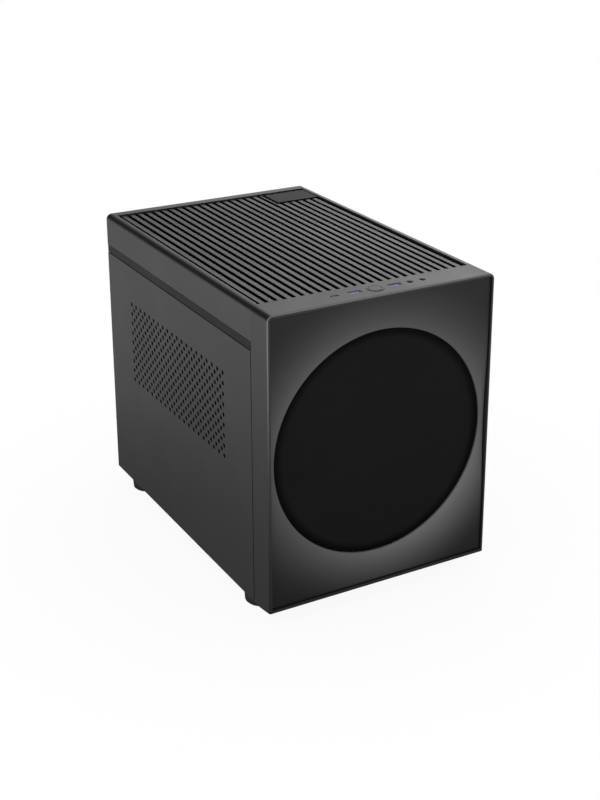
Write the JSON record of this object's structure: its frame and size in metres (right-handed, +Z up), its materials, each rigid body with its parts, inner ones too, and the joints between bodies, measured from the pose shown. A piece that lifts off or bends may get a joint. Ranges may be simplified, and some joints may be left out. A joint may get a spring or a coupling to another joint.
{
  "type": "mini itx pc case",
  "caption": "Compact upright computer case with a round meshed front intake, slatted top cover, perforated side panels, top connector strip and round feet.",
  "frame": {"origin": "centre of the box around the body and its rear ledge, at the height on which the feet stand", "axes": "+Z up; the round intake faces -Y; +X is to the right for someone who looks at the front"},
  "size_m": [0.25, 0.3876, 0.3203],
  "materials": {
    "panel_black": "satin powder coat, fine grain",
    "frame_black": "satin powder coat",
    "cover_black": "satin powder coat, fine grain",
    "bezel_black": "fine moulded grain",
    "plate_black": "satin, smooth",
    "mesh_black": "fine woven mesh",
    "filter_black": "fine mesh in a frame",
    "inner_black": "moulded",
    "badge_grey": "smooth, bare",
    "button_black": "satin",
    "socket_steel": "drawn",
    "tongue_blue": "moulded",
    "board_green": "solder resist",
    "brass_plain": "turned",
    "screw_steel": "zinc plated",
    "screw_black": "blackened",
    "foot_rubber": "moulded"
  },
  "bodies": {
    "case": {"chassis_base": "frame_black", "front_frame": "frame_black", "rear_panel": "frame_black", "top_rail_left": "panel_black", "top_rail_right": "panel_black", "motherboard_tray": "frame_black", "board_standoffs": "brass_plain", "drive_bracket": "frame_black", "left_side_panel": "panel_black", "right_side_panel": "panel_black", "side_filter_left": "filter_black", "side_filter_right": "filter_black", "top_cover": "cover_black", "top_dust_filter": "filter_black", "badge_plate": "badge_grey", "front_bezel": "bezel_black", "front_plate": "plate_black", "mesh_disc": "mesh_black", "mesh_ring": "inner_black", "front_fan_frame": "inner_black", "rear_fan_frame": "inner_black", "slot_cover_1": "frame_black", "slot_cover_2": "frame_black", "slot_screws": "screw_steel", "io_board": "board_green", "usb_a_left": "socket_steel", "usb_a_right": "socket_steel", "usb_tongues": "tongue_blue", "usb_c_port": "socket_steel", "audio_jack_left": "inner_black", "audio_jack_right": "inner_black", "power_switch": "inner_black", "foot_front_left": "foot_rubber", "foot_front_right": "foot_rubber", "foot_rear_left": "foot_rubber", "foot_rear_right": "foot_rubber", "foot_screws": "screw_steel", "thumbscrews": "screw_steel", "front_fan_screws": "screw_black", "rear_fan_screws": "screw_black"},
    "front_fan": {"front_fan_rotor": "inner_black"},
    "rear_fan": {"rear_fan_rotor": "inner_black"},
    "button": {"power_button": "button_black"}
  },
  "joints": [
    {"name": "front_fan_spin", "type": "hinge", "parent": "case", "child": "front_fan", "pos_m": [0, -0.1481, 0.16675], "axis": [0, 1, 0], "continuous": true},
    {"name": "rear_fan_spin", "type": "hinge", "parent": "case", "child": "rear_fan", "pos_m": [0.03, 0.1691, 0.21845], "axis": [0, 1, 0], "continuous": true},
    {"name": "power_button_press", "type": "slide", "parent": "case", "child": "button", "axis": [0, 0, -1], "range_m": [0, 0.0015], "stiffness_N_per_m": 400, "springref_m": -0.0008}
  ]
}
